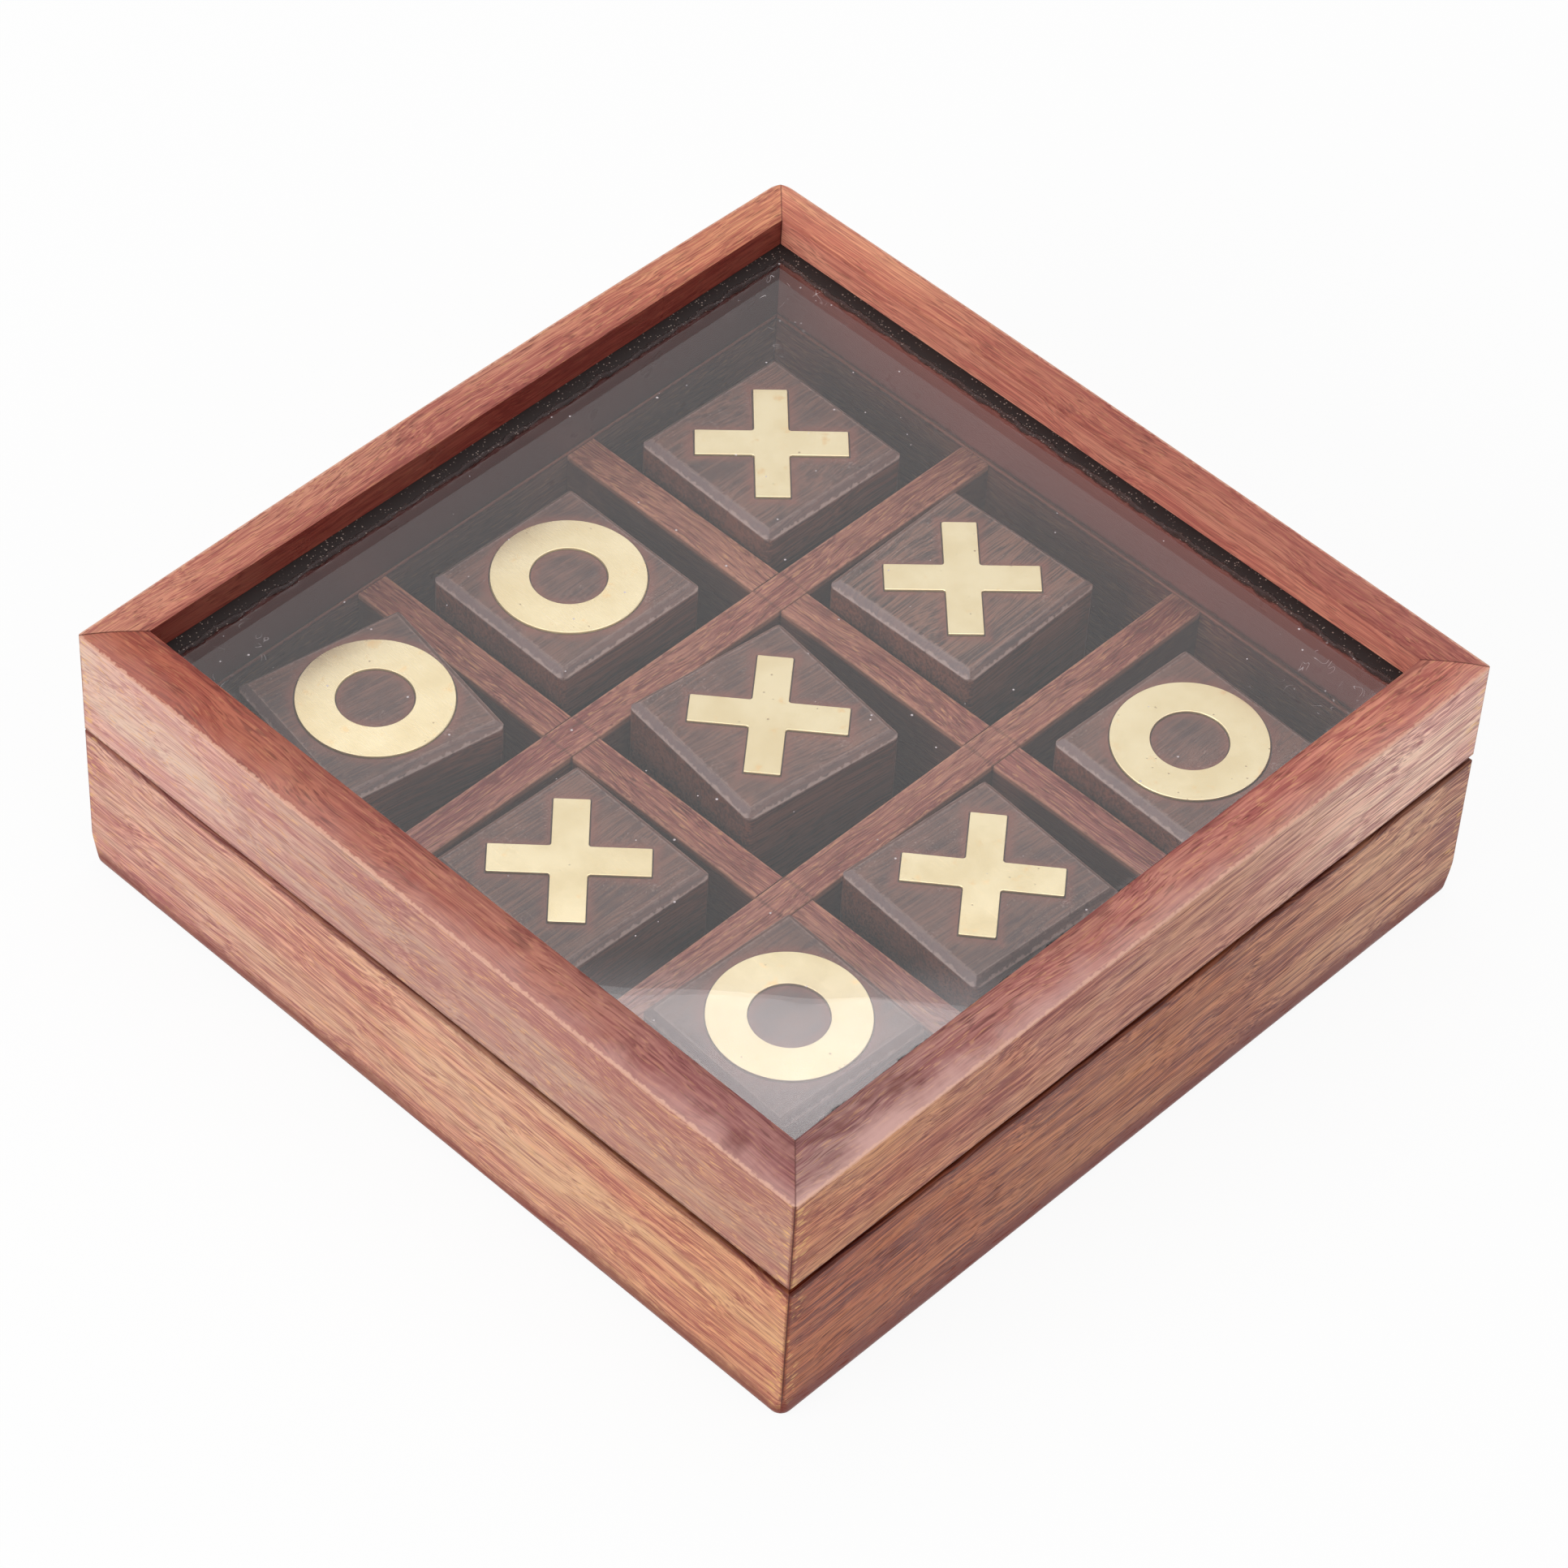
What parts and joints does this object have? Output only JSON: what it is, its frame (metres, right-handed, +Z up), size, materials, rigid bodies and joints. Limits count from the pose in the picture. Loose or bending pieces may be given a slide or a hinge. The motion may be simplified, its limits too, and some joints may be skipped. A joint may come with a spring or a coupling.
{
  "type": "tic-tac-toe board",
  "caption": "Square hardwood game box with a hinged glass lid, crossing divider strips, and loose wooden blocks inlaid with brass crosses and rings.",
  "frame": {"origin": "centre of the box's underside", "axes": "+Z up, +Y towards the hinges at the back, +X to the right seen from the front"},
  "size_m": [0.1524, 0.1556, 0.0525],
  "materials": {
    "box_wood": "satin",
    "strip_wood": "satin",
    "floor_wood": "matte",
    "block_wood": "satin",
    "brass": "satin",
    "glass": "gloss"
  },
  "bodies": {
    "base": {"base_floor": "floor_wood", "long_strip_front": "strip_wood", "long_strip_back": "strip_wood", "short_strip_left": "strip_wood", "short_strip_right": "strip_wood", "base_wall_front": "box_wood", "base_wall_right": "box_wood", "base_wall_back": "box_wood", "base_wall_left": "box_wood", "hinge_left_base_leaf": "brass", "hinge_left_pin": "brass", "hinge_right_base_leaf": "brass", "hinge_right_pin": "brass", "hinge_base_screws": "brass"},
    "lid": {"lid_rail_front": "box_wood", "lid_rail_right": "box_wood", "lid_rail_back": "box_wood", "lid_rail_left": "box_wood", "glass_pane": "glass", "hinge_left_lid_leaf": "brass", "hinge_right_lid_leaf": "brass", "hinge_lid_screws": "brass"},
    "block_front_left": {"block_front_left": "block_wood", "ring_front_left": "brass"},
    "block_front_centre": {"block_front_centre": "block_wood", "cross_front_centre": "brass"},
    "block_front_right": {"block_front_right": "block_wood", "ring_front_right": "brass"},
    "block_middle_left": {"block_middle_left": "block_wood", "cross_middle_left": "brass"},
    "block_middle_centre": {"block_middle_centre": "block_wood", "cross_middle_centre": "brass"},
    "block_middle_right": {"block_middle_right": "block_wood", "cross_middle_right": "brass"},
    "block_back_left": {"block_back_left": "block_wood", "ring_back_left": "brass"},
    "block_back_centre": {"block_back_centre": "block_wood", "ring_back_centre": "brass"},
    "block_back_right": {"block_back_right": "block_wood", "cross_back_right": "brass"}
  },
  "joints": [
    {"name": "lid_hinge", "type": "hinge", "parent": "base", "child": "lid", "pos_m": [0, 0.0779, 0.03037], "axis": [-1, 0, 0], "range_deg": [0, 180]},
    {"name": "lift_front_left", "type": "slide", "parent": "base", "child": "block_front_left", "axis": [0, 0, 1], "range_m": [0, 0.009]},
    {"name": "lift_front_centre", "type": "slide", "parent": "base", "child": "block_front_centre", "axis": [0, 0, 1], "range_m": [0, 0.009]},
    {"name": "lift_front_right", "type": "slide", "parent": "base", "child": "block_front_right", "axis": [0, 0, 1], "range_m": [0, 0.009]},
    {"name": "lift_middle_left", "type": "slide", "parent": "base", "child": "block_middle_left", "axis": [0, 0, 1], "range_m": [0, 0.009]},
    {"name": "lift_middle_centre", "type": "slide", "parent": "base", "child": "block_middle_centre", "axis": [0, 0, 1], "range_m": [0, 0.009]},
    {"name": "lift_middle_right", "type": "slide", "parent": "base", "child": "block_middle_right", "axis": [0, 0, 1], "range_m": [0, 0.009]},
    {"name": "lift_back_left", "type": "slide", "parent": "base", "child": "block_back_left", "axis": [0, 0, 1], "range_m": [0, 0.009]},
    {"name": "lift_back_centre", "type": "slide", "parent": "base", "child": "block_back_centre", "axis": [0, 0, 1], "range_m": [0, 0.009]},
    {"name": "lift_back_right", "type": "slide", "parent": "base", "child": "block_back_right", "axis": [0, 0, 1], "range_m": [0, 0.009]}
  ]
}
